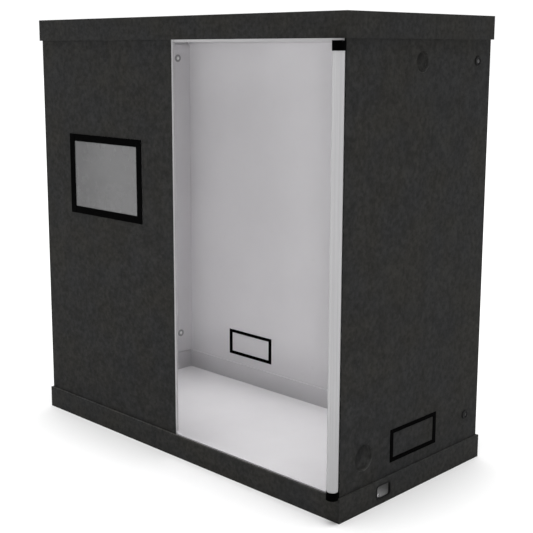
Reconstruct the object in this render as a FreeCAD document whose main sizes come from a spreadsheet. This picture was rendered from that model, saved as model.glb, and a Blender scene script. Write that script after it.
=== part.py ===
import FreeCAD, Part
import os
import re
import Sketcher

# A free-standing enclosure cabinet for a desktop printer, in millimetres.
#
# It is made of laminated sheet: a white foamed board with a thin charcoal skin on
# its outer face.  A tray and a lid, both with a turned edge and an inner rim, hold
# four slotted-in walls.  The front wall covers the left half only; the right half
# is the doorway, closed by a clear film that rolls up beside the right wall.
#
# Frame: origin at the centre of the cabinet's underside, +X to the right seen from
# the front, +Y to the rear, +Z up.

DIMENSIONS = {
    # overall cabinet, measured over the turned edges of lid and tray
    "width": 990.0,
    "depth": 497.0,
    "height": 1000.0,
    # laminated sheet
    "lip": 5.0,             # step from the turned edges in to the walls' outer faces
    "sheet_thick": 5.0,     # board and skin together
    "skin_thick": 0.8,
    "fit_gap": 0.3,         # play between the lid and the walls, all round
    # turned edges and inner rims
    "tray_edge": 52.0,
    "lid_edge": 50.0,
    "rim_thick": 3.0,
    "rim_rise": 50.0,       # rims stand this far off the floor and the ceiling
    # folded tabs that join the rear and front walls to the side walls
    "tab_depth": 65.0,
    "tab_gap": 3.0,         # from the tab's ends to the rims
    # doorway
    "jamb_x": -2.0,         # free edge of the front wall
    "closing_wide": 15.0,   # strip behind that edge, which the closed film meets
    "closing_thick": 3.0,
    # snap rivets, in a low and a high row
    "row_low": 114.5,
    "row_high": 904.5,
    "rivet_y": 194.0,
    "rivet_head": 20.5,
    "stud_thick": 3.5,      # head outside
    "cap_thick": 3.0,       # head inside
    "head_chamfer": 1.8,
    "rivet_hole": 8.4,
    "rivet_shank": 8.2,
    # window in the front wall
    "window_x": -246.0,
    "window_z": 628.5,
    "window_wide": 276.0,
    "window_tall": 195.0,
    "window_tape_side": 19.5,
    "window_tape_top": 17.5,
    "pane_thick": 0.6,
    "tape_thick": 0.8,
    # two equal rectangular ports with flaps, in the right wall and the rear wall
    "port_wide": 163.0,
    "port_tall": 71.0,
    "port_tape_side": 10.5,
    "port_tape_top": 8.5,
    "port_lining": 2.0,
    "flap_gap": 0.8,
    "rear_port_x": -238.5,
    # round knock-out plugs in the right wall
    "upper_plug_y": -3.0,
    "upper_plug_bore": 44.0,
    "lower_plug_y": -167.5,
    "lower_plug_bore": 58.0,
    "plug_gap": 0.4,
    "plug_sunk": 8.0,
    "plug_back": 2.0,
    # cable port through the tray's edge, the right wall and the rim
    "cable_y": -106.5,
    "cable_z": 26.5,
    "cable_wide": 44.0,
    "cable_tall": 28.0,
    "cable_corner": 6.0,
    "grommet_thick": 1.6,
    "grommet_flange": 2.4,
    "grommet_proud": 1.0,
    "membrane_thick": 1.0,
    "notch_wide": 8.0,
    "notch_tall": 10.0,
    "notch_off": 12.0,      # from the port's middle to the notch's, towards the front
    # rolled-up clear door
    "roll_x": 484.2,
    "roll_y": -258.3,
    "roll_outer": 11.8,     # radius of the wound film
    "band_outer": 13.0,     # radius of its thicker black borders
    "core_radius": 8.0,
    "running_gap": 0.05,
    "door_low": 53.0,
    "door_high": 946.0,
    "low_band_tall": 17.0,
    "high_band_tall": 19.0,
    "film_thick": 0.45,
    "film_gap": 0.1,        # from the borders of the roll to the flat film behind it
}

doc = FreeCAD.newDocument("printer_enclosure")
sheet = doc.addObject("Spreadsheet::Sheet", "dims")
for row, (alias, number) in enumerate(DIMENSIONS.items(), start=1):
    sheet.set("A%d" % row, alias)
    sheet.set("B%d" % row, str(number))
    sheet.setAlias("B%d" % row, alias)
doc.recompute()

subparts = []


def formula(text):
    """Turn a formula over dimension names into an expression over the sheet."""
    return re.sub(r"[a-z_]+", lambda word: "dims." + word.group(), text)


def bind(target, prop, text):
    """Bind a property to a formula over the driving dimensions."""
    target.setExpression(prop, formula(text))


# Formulas that several pieces share.  X and Y faces are given for the positive side.
HALF_X = "(width / 2)"
HALF_Y = "(depth / 2)"
OUT_X = "(width / 2 - lip)"                         # side walls, outer face
OUT_Y = "(depth / 2 - lip)"                         # front and rear walls, outer face
SKIN_X = f"({OUT_X} - skin_thick)"                  # where skin meets board
SKIN_Y = f"({OUT_Y} - skin_thick)"
IN_X = f"({OUT_X} - sheet_thick)"                   # side walls, inner face
IN_Y = f"({OUT_Y} - sheet_thick)"
EDGE_X = "(width / 2 - skin_thick)"                 # board of the turned edges, outer face
EDGE_Y = "(depth / 2 - skin_thick)"
LID_LOW = "(height - lid_edge)"                      # lower end of the lid's edge
WALL_LOW = "sheet_thick"
WALL_HIGH = "(height - sheet_thick - fit_gap)"
TAB_X = f"({IN_X} - sheet_thick)"                   # folded tabs, inner face
TAB_LOW = "(sheet_thick + rim_rise + tab_gap)"
TAB_HIGH = "(height - sheet_thick - rim_rise - tab_gap)"
PORT_HOLE_WIDE = "(port_wide - 2 * port_tape_side + 2 * port_lining)"
PORT_HOLE_TALL = "(port_tall - 2 * port_tape_top + 2 * port_lining)"
FLAP_WIDE = "(port_wide - 2 * port_tape_side - 2 * flap_gap)"
FLAP_TALL = "(port_tall - 2 * port_tape_top - 2 * flap_gap)"


def span(centre, size):
    """The low and high formula of a stretch of `size` about `centre`."""
    return (f"{centre} - {size} / 2", f"{centre} + {size} / 2")


def mirrored(text):
    """A span on the positive side, seen on the negative side."""
    low, high = text
    return (f"-({high})", f"-({low})")


def keep(piece):
    """List a finished piece, which becomes a node of its own."""
    subparts.append(piece)
    return piece


# ---------------------------------------------------------------- primitives

def block(name, across, along, up):
    """A box between three spans."""
    box = doc.addObject("Part::Box", name)
    for size, place, (low, high) in (("Length", "x", across), ("Width", "y", along), ("Height", "z", up)):
        bind(box, size, f"({high}) - ({low})")
        bind(box, "Placement.Base." + place, low)
    return box


def rod(name, radius, x, y, low, high):
    """An upright cylinder."""
    cylinder = doc.addObject("Part::Cylinder", name)
    bind(cylinder, "Radius", radius)
    bind(cylinder, "Height", f"({high}) - ({low})")
    for place, text in (("x", x), ("y", y), ("z", low)):
        bind(cylinder, "Placement.Base." + place, text)
    return cylinder


def cut(name, base, *tools):
    """The base less each tool in turn."""
    for number, tool in enumerate(tools, start=1):
        result = doc.addObject("Part::Cut", name if number == len(tools) else "%s_cut%d" % (name, number))
        result.Base = base
        result.Tool = tool
        base = result
    return result


def group(name, pieces):
    """Several separate solids in one node."""
    compound = doc.addObject("Part::Compound", name)
    compound.Links = pieces
    return compound


# ---------------------------------------------------------------- sketches

# Which way each plane's normal points along its axis.
PLANES = {
    "XY_Plane": 1,
    "XZ_Plane": -1,
    "YZ_Plane": 1,
}


def new_sketch(body, plane, name, start, end):
    """A sketch on one of the body's own planes, at the end that its normal leaves."""
    sketch = body.newObject("Sketcher::SketchObject", name)
    origin = [item for item in body.Origin.OriginFeatures if item.Role == plane][0]
    sketch.AttachmentSupport = (origin, [""])
    sketch.MapMode = "FlatFace"
    offset = start if PLANES[plane] > 0 else f"-({end})"
    bind(sketch, "AttachmentOffset.Base.z", offset)
    return sketch


def dimension(sketch, kind, geometry, point, text, first):
    """A dimension from the sketch's origin to a point, bound to a formula."""
    index = sketch.addConstraint(Sketcher.Constraint(kind, -1, 1, geometry, point, first))
    bind(sketch, "Constraints[%d]" % index, text)


def draw_rectangle(sketch, across, up):
    """A rectangle between two spans."""
    corners = [FreeCAD.Vector(x, y, 0) for x, y in ((-1, -1), (1, -1), (1, 1), (-1, 1))]
    first = sketch.GeometryCount
    for number in range(4):
        sketch.addGeometry(Part.LineSegment(corners[number], corners[(number + 1) % 4]), False)
    for number in range(4):
        following = first + (number + 1) % 4
        sketch.addConstraint(Sketcher.Constraint("Coincident", first + number, 2, following, 1))
        direction = "Vertical" if number % 2 else "Horizontal"
        sketch.addConstraint(Sketcher.Constraint(direction, first + number))
    dimension(sketch, "DistanceX", first, 1, across[0], -1.0)
    dimension(sketch, "DistanceY", first, 1, up[0], -1.0)
    dimension(sketch, "DistanceX", first + 2, 1, across[1], 1.0)
    dimension(sketch, "DistanceY", first + 2, 1, up[1], 1.0)


def draw_circle(sketch, x, y, diameter):
    """A circle."""
    index = sketch.addGeometry(Part.Circle(FreeCAD.Vector(1, 1, 0), FreeCAD.Vector(0, 0, 1), 5.0), False)
    dimension(sketch, "DistanceX", index, 3, x, 1.0)
    dimension(sketch, "DistanceY", index, 3, y, 1.0)
    size = sketch.addConstraint(Sketcher.Constraint("Diameter", index, 10.0))
    bind(sketch, "Constraints[%d]" % size, diameter)


def pad(body, plane, start, end, rectangles=(), circles=()):
    """Draw the outlines on a plane of the body and pad them from start to end."""
    number = len(body.Group)
    sketch = new_sketch(body, plane, "%s_sketch%d" % (body.Name, number), start, end)
    for across, up in rectangles:
        draw_rectangle(sketch, across, up)
    for x, y, diameter in circles:
        draw_circle(sketch, x, y, diameter)
    feature = body.newObject("PartDesign::Pad", "%s_pad%d" % (body.Name, number))
    feature.Profile = sketch
    bind(feature, "Length", f"({end}) - ({start})")
    sketch.Visibility = False
    doc.recompute()
    return feature


def plate(name, plane, start, end, rectangles, circles=()):
    """A flat sheet: the first rectangle is its outline and the rest are holes in it."""
    body = doc.addObject("PartDesign::Body", name)
    pad(body, plane, start, end, rectangles, circles)
    return body


def fillet_across(body, axis, radius, reach):
    """Round the edges of a body's tip that run along an axis and are `reach` or shorter."""
    tip = body.Tip
    names = []
    for number, edge in enumerate(tip.Shape.Edges, start=1):
        start, end = (vertex.Point for vertex in edge.Vertexes)
        run = end - start
        if abs(abs(run.dot(axis)) - run.Length) < 1e-6 and run.Length < reach:
            names.append("Edge%d" % number)
    feature = body.newObject("PartDesign::Fillet", body.Name + "_fillet")
    feature.Base = (tip, names)
    bind(feature, "Radius", radius)
    doc.recompute()
    return feature


# ---------------------------------------------------------------- cable port

def cable_tool(name, wider):
    """The cable port's outline as a long bar through the right-hand side."""
    depth_in = (f"{TAB_X} - rim_thick", f"{HALF_X} + sheet_thick")
    wide = span("cable_y", f"(cable_wide + 2 * {wider})")
    tall = span("cable_z", f"(cable_tall + 2 * {wider})")
    bar = plate(name, "YZ_Plane", depth_in[0], depth_in[1], [(wide, tall)])
    fillet_across(bar, FreeCAD.Vector(1, 0, 0), f"cable_corner + {wider}", sheet.width)
    return bar


# ---------------------------------------------------------------- tray and lid

def both_ways(size):
    """A span from the negative to the positive side."""
    return (f"-{size}", size)


def strips(name, inner, outer, up, tool=None, front_up=None):
    """Four upright strips in a rectangle, the side strips over the ends of the others.

    `inner` and `outer` are the X and Y faces of the strips on the positive side. `front_up` is
    the front strip's own height, where it differs.
    """
    side = (inner[0], outer[0])
    end = (inner[1], outer[1])
    right = block(name + "_right", side, both_ways(outer[1]), up)
    if tool:
        right = cut(name + "_right_open", right, tool)
    left = block(name + "_left", mirrored(side), both_ways(outer[1]), up)
    rear = block(name + "_rear", both_ways(inner[0]), end, up)
    front = block(name + "_front", both_ways(inner[0]), mirrored(end), front_up or up)
    keep(group(name, [right, left, rear, front]))


def tray(tool):
    """The tray: floor, turned-up edge, inner rim and skins, all open at the cable port.

    The rim's front strip is the doorway's sill, level with the turned-up edge.
    """
    keep(block("base_floor", both_ways(EDGE_X), both_ways(EDGE_Y), ("skin_thick", "sheet_thick")))
    strips("base_edge", (OUT_X, OUT_Y), (EDGE_X, EDGE_Y), ("sheet_thick", "tray_edge - skin_thick"), tool)
    rim_inner = (f"({IN_X} - rim_thick)", f"({IN_Y} - rim_thick)")
    rim_up = ("sheet_thick", "sheet_thick + rim_rise")
    strips("tray_inner_rim", rim_inner, (IN_X, IN_Y), rim_up, tool, ("sheet_thick", "tray_edge"))
    side = both_ways(HALF_X)
    deep = both_ways(HALF_Y)
    keep(block("base_bottom_skin", side, deep, ("0", "skin_thick")))
    band = block("tray_band_outer", side, deep, ("skin_thick", "tray_edge"))
    board = block("tray_band_inner", both_ways(EDGE_X), both_ways(EDGE_Y), ("0", "tray_edge - skin_thick"))
    mouth = block("tray_band_mouth", both_ways(OUT_X), both_ways(OUT_Y), ("sheet_thick", "tray_edge + lip"))
    keep(cut("base_edge_skin", band, board, mouth, tool))


def lid():
    """The lid: top, turned-down edge and inner rim of white board, and a skin all over outside."""
    ceiling = "height - sheet_thick"
    room = (f"({OUT_X} + fit_gap)", f"({OUT_Y} + fit_gap)")
    keep(block("lid_board", both_ways(EDGE_X), both_ways(EDGE_Y), (ceiling, "height - skin_thick")))
    strips("lid_edge", room, (EDGE_X, EDGE_Y), (f"{LID_LOW} + skin_thick", ceiling))
    rim_outer = (f"({IN_X} - fit_gap)", f"({IN_Y} - fit_gap)")
    rim_inner = (f"({IN_X} - fit_gap - rim_thick)", f"({IN_Y} - fit_gap - rim_thick)")
    strips("lid_inner_rim", rim_inner, rim_outer, (f"{ceiling} - rim_rise", ceiling))
    outer = block("lid_skin_outer", both_ways(HALF_X), both_ways(HALF_Y), (LID_LOW, "height"))
    within = (f"{LID_LOW} + skin_thick", "height - skin_thick")
    board = block("lid_skin_inner", both_ways(EDGE_X), both_ways(EDGE_Y), within)
    mouth = block("lid_skin_mouth", both_ways(room[0]), both_ways(room[1]), (f"{LID_LOW} - lip", ceiling))
    keep(cut("lid_skin", outer, board, mouth))


# ---------------------------------------------------------------- walls

RIVET_HOLES = [("rivet_y", "row_low", "rivet_hole"), ("rivet_y", "row_high", "rivet_hole")]
FRONT_RIVET_HOLES = [("-rivet_y", "row_low", "rivet_hole"), ("-rivet_y", "row_high", "rivet_hole")]


def left_wall():
    """Left wall, tucked behind the front wall's edge; its skin returns round the rear end."""
    tall = (WALL_LOW, WALL_HIGH)
    holes = RIVET_HOLES + FRONT_RIVET_HOLES
    keep(plate("left_wall", "YZ_Plane", f"-{SKIN_X}", f"-{IN_X}", [((f"-{IN_Y}", SKIN_Y), tall)], holes))
    outer = (f"-{IN_Y}", OUT_Y)
    skin = keep(plate("left_wall_skin", "YZ_Plane", f"-{OUT_X}", f"-{SKIN_X}", [(outer, tall)], holes))
    pad(skin, "YZ_Plane", f"-{SKIN_X}", f"-{IN_X}", [((SKIN_Y, OUT_Y), tall)])


def right_wall(tool):
    """Right wall with the flap port, two knock-out bores and a notch for the cable port.

    Its skin returns round both ends.
    """
    tall = (WALL_LOW, WALL_HIGH)
    port = (span("0", PORT_HOLE_WIDE), span("row_low", PORT_HOLE_TALL))
    bores = [
        ("upper_plug_y", "row_high", "upper_plug_bore"),
        ("lower_plug_y", "row_low", "lower_plug_bore"),
    ]
    inner = (f"-{SKIN_Y}", SKIN_Y)
    outer = (f"-{OUT_Y}", OUT_Y)
    board = plate("right_board", "YZ_Plane", IN_X, SKIN_X, [(inner, tall), port], RIVET_HOLES + bores)
    skin = plate("right_skin", "YZ_Plane", SKIN_X, OUT_X, [(outer, tall), port], RIVET_HOLES + bores)
    for end in ((SKIN_Y, OUT_Y), (f"-{OUT_Y}", f"-{SKIN_Y}")):
        pad(skin, "YZ_Plane", IN_X, SKIN_X, [(end, tall)])
    notch_wide = span("cable_y", "(cable_wide + 2 * grommet_thick)")
    notch = block("cable_notch", (TAB_X, HALF_X), notch_wide, ("0", "cable_z"))
    keep(cut("right_wall", board, tool, notch))
    keep(cut("right_wall_skin", skin, tool, notch))


def rear_wall():
    """Rear wall with its flap port, and a tab folded forward inside each side wall."""
    outline = ((f"-{IN_X}", IN_X), (WALL_LOW, WALL_HIGH))
    port = (span("rear_port_x", PORT_HOLE_WIDE), span("row_low", PORT_HOLE_TALL))
    body = keep(plate("rear_wall", "XZ_Plane", IN_Y, SKIN_Y, [outline, port]))
    tab = ((f"{IN_Y} - tab_depth", SKIN_Y), (TAB_LOW, TAB_HIGH))
    pad(body, "YZ_Plane", TAB_X, IN_X, [tab], RIVET_HOLES)
    pad(body, "YZ_Plane", f"-{IN_X}", f"-{TAB_X}", [tab], RIVET_HOLES)
    keep(plate("rear_wall_skin", "XZ_Plane", SKIN_Y, OUT_Y, [outline, port]))


def front_wall():
    """Front wall over the left half, with the window and a tab inside the left wall.

    Its skin returns round the left end.  A closing strip stands behind the free edge.
    """
    tall = (WALL_LOW, WALL_HIGH)
    sight = (
        span("window_x", "(window_wide - 2 * window_tape_side)"),
        span("window_z", "(window_tall - 2 * window_tape_top)"),
    )
    inner = (f"-{SKIN_X}", "jamb_x")
    outer = (f"-{OUT_X}", "jamb_x")
    body = keep(plate("front_wall", "XZ_Plane", f"-{SKIN_Y}", f"-{IN_Y}", [(inner, tall), sight]))
    tab = ((f"-{SKIN_Y}", f"-{IN_Y} + tab_depth"), (TAB_LOW, TAB_HIGH))
    pad(body, "YZ_Plane", f"-{IN_X}", f"-{TAB_X}", [tab], FRONT_RIVET_HOLES)
    skin = keep(plate("front_wall_skin", "XZ_Plane", f"-{OUT_Y}", f"-{SKIN_Y}", [(outer, tall), sight]))
    pad(skin, "XZ_Plane", f"-{SKIN_Y}", f"-{IN_Y}", [((f"-{OUT_X}", f"-{SKIN_X}"), tall)])
    strip = ("jamb_x - closing_wide", "jamb_x")
    keep(block("jamb_closing_strip", strip, (f"-{IN_Y}", f"-{IN_Y} + closing_thick"), (TAB_LOW, TAB_HIGH)))


def window():
    """Clear pane on the front wall's outer face, edged with black tape."""
    wide = span("window_x", "window_wide")
    tall = span("window_z", "window_tall")
    keep(plate("window_pane", "XZ_Plane", f"-({OUT_Y} + pane_thick)", f"-{OUT_Y}", [(wide, tall)]))
    sight = (
        span("window_x", "(window_wide - 2 * window_tape_side)"),
        span("window_z", "(window_tall - 2 * window_tape_top)"),
    )
    low = f"-({OUT_Y} + pane_thick + tape_thick)"
    high = f"-({OUT_Y} + pane_thick)"
    keep(plate("window_border", "XZ_Plane", low, high, [(wide, tall), sight]))


# ---------------------------------------------------------------- ports and flaps

def port_frame(name, plane, centre, inner_face, outer_face):
    """Black edging of a port: a lining through the wall and a flange on each face."""
    wide = span(centre, "port_wide")
    tall = span("row_low", "port_tall")
    lining = (span(centre, PORT_HOLE_WIDE), span("row_low", PORT_HOLE_TALL))
    sight = (
        span(centre, "(port_wide - 2 * port_tape_side)"),
        span("row_low", "(port_tall - 2 * port_tape_top)"),
    )
    body = keep(plate(name, plane, inner_face, outer_face, [lining, sight]))
    pad(body, plane, outer_face, f"{outer_face} + tape_thick", [(wide, tall), sight])
    pad(body, plane, f"{inner_face} - tape_thick", inner_face, [(wide, tall), sight])


def flap(name, plane, centre, inner_face, skin_face, outer_face):
    """A flap of the same laminate, hung from its top edge inside the port frame."""
    outline = (span(centre, FLAP_WIDE), span("row_low", FLAP_TALL))
    keep(plate(name, plane, inner_face, skin_face, [outline]))
    keep(plate(name + "_skin", plane, skin_face, outer_face, [outline]))


def plug(name, y, z, bore):
    """A knock-out plug: a charcoal dish that lines the bore, and a board disc behind it."""
    across = f"({bore} - 2 * plug_gap)"
    within = f"({across} - 2 * skin_thick)"
    face = f"({OUT_X} - plug_sunk)"
    back = f"({face} - skin_thick)"
    keep(plate(name, "YZ_Plane", f"{back} - plug_back", back, [], [(y, z, across)]))
    dish = keep(plate(name + "_dish", "YZ_Plane", f"{face} - skin_thick", face, [], [(y, z, across)]))
    pad(dish, "YZ_Plane", face, OUT_X, [], [(y, z, across), (y, z, within)])


def cable_grommet(open_tool, hole_tool):
    """Black liner of the cable port through the tray's edge, with a flange outside.

    A rubber membrane closes its inner end, apart from a notch that the cable lies in.
    """
    ring = cut("grommet_tube", hole_tool, open_tool)
    reach = (OUT_X, f"{HALF_X} + grommet_proud")
    wide = span("cable_y", "(cable_wide + 2 * grommet_flange)")
    tall = span("cable_z", "(cable_tall + 2 * grommet_flange)")
    flange = plate("grommet_flange_plate", "YZ_Plane", HALF_X, reach[1], [(wide, tall)])
    fillet_across(flange, FreeCAD.Vector(1, 0, 0), "cable_corner + grommet_flange", sheet.width)
    open_flange = cut("grommet_flange_ring", flange, open_tool)
    sleeve_room = block("grommet_room", reach, wide, tall)
    sleeve = doc.addObject("Part::Common", "grommet_sleeve")
    sleeve.Base = ring
    sleeve.Tool = sleeve_room
    liner = doc.addObject("Part::Fuse", "cable_port_grommet")
    liner.Base = sleeve
    liner.Tool = open_flange
    keep(liner)
    sheet_run = (OUT_X, f"{OUT_X} + membrane_thick")
    solid = doc.addObject("Part::Common", "membrane_sheet")
    solid.Base = block("membrane_room", sheet_run, wide, tall)
    solid.Tool = open_tool
    notch_wide = span("(cable_y - notch_off)", "notch_wide")
    notch_tall = ("0", "(cable_z - cable_tall / 2) + notch_tall")
    notch = block("membrane_notch", (IN_X, HALF_X), notch_wide, notch_tall)
    keep(cut("cable_port_membrane", solid, notch))


# ---------------------------------------------------------------- snap rivets

def turned(name, outline, side, y, z):
    """A body turned about its x axis, which runs inwards from a side wall's outer face."""
    body = doc.addObject("PartDesign::Body", name)
    sketch = new_sketch(body, "XZ_Plane", name + "_profile", "0", "0")
    count = len(outline)
    guess = [FreeCAD.Vector(4 * number, 1 + number % 3, 0) for number in range(count)]
    for number in range(count):
        sketch.addGeometry(Part.LineSegment(guess[number], guess[(number + 1) % count]), False)
    for number in range(count):
        sketch.addConstraint(Sketcher.Constraint("Coincident", number, 2, (number + 1) % count, 1))
    for number, (inwards, radius) in enumerate(outline):
        dimension(sketch, "DistanceX", number, 1, inwards, 1.0)
        dimension(sketch, "DistanceY", number, 1, radius, 1.0)
    feature = body.newObject("PartDesign::Revolution", name + "_turned")
    feature.Profile = sketch
    feature.ReferenceAxis = (sketch, ["H_Axis"])
    feature.Angle = 360.0
    facing = FreeCAD.Rotation(FreeCAD.Vector(0, 0, 1), 0 if side < 0 else 180)
    body.Placement = FreeCAD.Placement(FreeCAD.Vector(0, 0, 0), facing)
    for place, text in (("x", f"{side} * {OUT_X}"), ("y", y), ("z", z)):
        bind(body, "Placement.Base." + place, text)
    doc.recompute()
    return body


GRIP = "2 * sheet_thick"                            # wall and tab together
CROWN = "rivet_head / 2 - head_chamfer"
HEAD = "rivet_head / 2"
SHANK = "rivet_shank / 2"
STUD_OUTLINE = [
    ("-stud_thick", "0"),
    (GRIP, "0"),
    (GRIP, SHANK),
    ("0", SHANK),
    ("0", HEAD),
    ("-stud_thick", CROWN),
]
CAP_OUTLINE = [
    (GRIP, "0"),
    (GRIP + " + cap_thick", "0"),
    (GRIP + " + cap_thick", CROWN),
    (GRIP, HEAD),
]


def rivets(name, side, rows):
    """The two-part snap rivets of one side wall: studs from outside, caps inside."""
    for kind, outline in (("studs", STUD_OUTLINE), ("caps", CAP_OUTLINE)):
        pieces = []
        for y in rows:
            for level in ("row_low", "row_high"):
                label = "%s_%s_%d" % (name, kind, len(pieces) + 1)
                pieces.append(turned(label, outline, side, y, level))
        keep(group("%s_%s" % (name, kind), pieces))


# ---------------------------------------------------------------- roll-up door

def door():
    """Clear film wound on a core, with thicker black top and bottom borders, and its fixed edge."""
    keep(rod("door_core_rod", "core_radius", "roll_x", "roll_y", "door_low", "door_high"))
    stretches = {
        "door_bottom_band": ("band_outer", "door_low", "door_low + low_band_tall"),
        "door_film_roll": ("roll_outer", "door_low + low_band_tall", "door_high - high_band_tall"),
        "door_top_band": ("band_outer", "door_high - high_band_tall", "door_high"),
    }
    for name, (radius, low, high) in stretches.items():
        outer = rod(name + "_outer", radius, "roll_x", "roll_y", low, high)
        bore = rod(name + "_bore", "core_radius + running_gap", "roll_x", "roll_y",
                   f"{low} - lip", f"{high} + lip")
        keep(cut(name, outer, bore))
    film_face = "(roll_y + band_outer + film_gap)"
    upright = ("door_low", "door_high")
    film_run = ("roll_x", f"{OUT_X} - film_thick")
    keep(block("door_film_tail", film_run, (film_face, f"{film_face} + film_thick"), upright))
    strip_run = (f"{IN_X} + film_thick", f"{OUT_X} - film_thick")
    keep(block("door_anchor_strip", strip_run, (f"{film_face} + film_thick", f"-{OUT_Y}"), upright))


# ---------------------------------------------------------------- assembly

cable_hole = cable_tool("cable_hole", "grommet_thick")
cable_open = cable_tool("cable_open", "0")

tray(cable_hole)
lid()
left_wall()
right_wall(cable_hole)
rear_wall()
front_wall()
window()
port_frame("side_port_frame", "YZ_Plane", "0", IN_X, OUT_X)
port_frame("rear_port_frame", "XZ_Plane", "rear_port_x", IN_Y, OUT_Y)
flap("side_flap", "YZ_Plane", "0", IN_X, SKIN_X, OUT_X)
flap("rear_flap", "XZ_Plane", "rear_port_x", IN_Y, SKIN_Y, OUT_Y)
plug("upper_plug", "upper_plug_y", "row_high", "upper_plug_bore")
plug("lower_plug", "lower_plug_y", "row_low", "lower_plug_bore")
cable_grommet(cable_open, cable_hole)
rivets("left_rivet", -1, ("rivet_y", "-rivet_y"))
rivets("right_rivet", 1, ("rivet_y",))
door()

doc.recompute()

for item in doc.Objects:
    if "Invalid" in item.State or "Error" in item.State:
        raise RuntimeError("object failed: " + item.Name)
for piece in subparts:
    if piece.Shape.isNull() or not piece.Shape.isValid():
        raise RuntimeError("bad shape: " + piece.Label)

os.makedirs("parts", exist_ok=True)
for piece in subparts:
    piece.Shape.exportStep("parts/%s.step" % piece.Label)
    box = piece.Shape.BoundBox
    print("%-20s solids %d volume %10.0f  x %7.1f %7.1f  y %7.1f %7.1f  z %7.1f %7.1f" % (
        piece.Label, len(piece.Shape.Solids), piece.Shape.Volume,
        box.XMin, box.XMax, box.YMin, box.YMax, box.ZMin, box.ZMax))
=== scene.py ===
import math

import bpy
import bmesh
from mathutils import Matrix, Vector


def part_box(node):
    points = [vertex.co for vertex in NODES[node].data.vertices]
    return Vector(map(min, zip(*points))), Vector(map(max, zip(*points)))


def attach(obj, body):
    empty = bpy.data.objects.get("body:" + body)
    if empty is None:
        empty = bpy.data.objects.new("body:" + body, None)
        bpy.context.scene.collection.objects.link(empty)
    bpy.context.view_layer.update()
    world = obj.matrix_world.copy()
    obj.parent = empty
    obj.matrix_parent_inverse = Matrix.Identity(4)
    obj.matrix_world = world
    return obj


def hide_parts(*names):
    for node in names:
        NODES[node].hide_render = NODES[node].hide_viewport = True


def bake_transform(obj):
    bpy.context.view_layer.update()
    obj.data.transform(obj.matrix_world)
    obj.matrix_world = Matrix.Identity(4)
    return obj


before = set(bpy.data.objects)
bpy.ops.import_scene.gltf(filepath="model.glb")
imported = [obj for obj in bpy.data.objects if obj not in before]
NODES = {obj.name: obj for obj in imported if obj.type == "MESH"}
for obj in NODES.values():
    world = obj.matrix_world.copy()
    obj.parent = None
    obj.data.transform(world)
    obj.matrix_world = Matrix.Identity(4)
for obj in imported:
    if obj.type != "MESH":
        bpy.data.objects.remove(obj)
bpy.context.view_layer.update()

MM = 0.001


def corners(node):
    """Lowest and highest corner of a CAD node at rest, in metres."""
    low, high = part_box(node)
    return Vector(low), Vector(high)


def extent(node):
    """Size of a CAD node's box."""
    low, high = corners(node)
    return high - low


# ---------------------------------------------------------------- camera

# The place is in heights of the cabinet, from the middle of its foot.
CAMERA_PLACE = Vector((1.7308, -1.7418, 0.9304))
CAMERA_YAW = math.radians(-45.01)
CAMERA_DOWN = math.radians(9.91)
CAMERA_LENS = 70.1
CAMERA_SHIFT = (0.0361, -0.0682)
CAMERA_CLIP = (0.05, 100.0)


def make_camera():
    """A long lens in front of the right-hand corner, a little below the lid."""
    data = bpy.data.cameras.new("camera")
    data.lens = CAMERA_LENS
    data.shift_x, data.shift_y = CAMERA_SHIFT
    data.clip_start, data.clip_end = CAMERA_CLIP
    camera = bpy.data.objects.new("camera", data)
    level = math.cos(CAMERA_DOWN)
    ahead = Vector((math.sin(CAMERA_YAW) * level, math.cos(CAMERA_YAW) * level,
                    -math.sin(CAMERA_DOWN)))
    camera.location = CAMERA_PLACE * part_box("lid_skin")[1][2]
    camera.rotation_euler = ahead.to_track_quat("-Z", "Y").to_euler()
    bpy.context.scene.collection.objects.link(camera)
    bpy.context.scene.camera = camera


make_camera()


# ---------------------------------------------------------------- material kit

# Sockets of the Mix node in its colour mode, which share their names with other modes' sockets.
MIX_FIRST = 6
MIX_SECOND = 7
MIX_RESULT = 2

# The least share of a normal that makes a face one that looks along an axis.
FACING_LIMIT = 0.75


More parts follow.
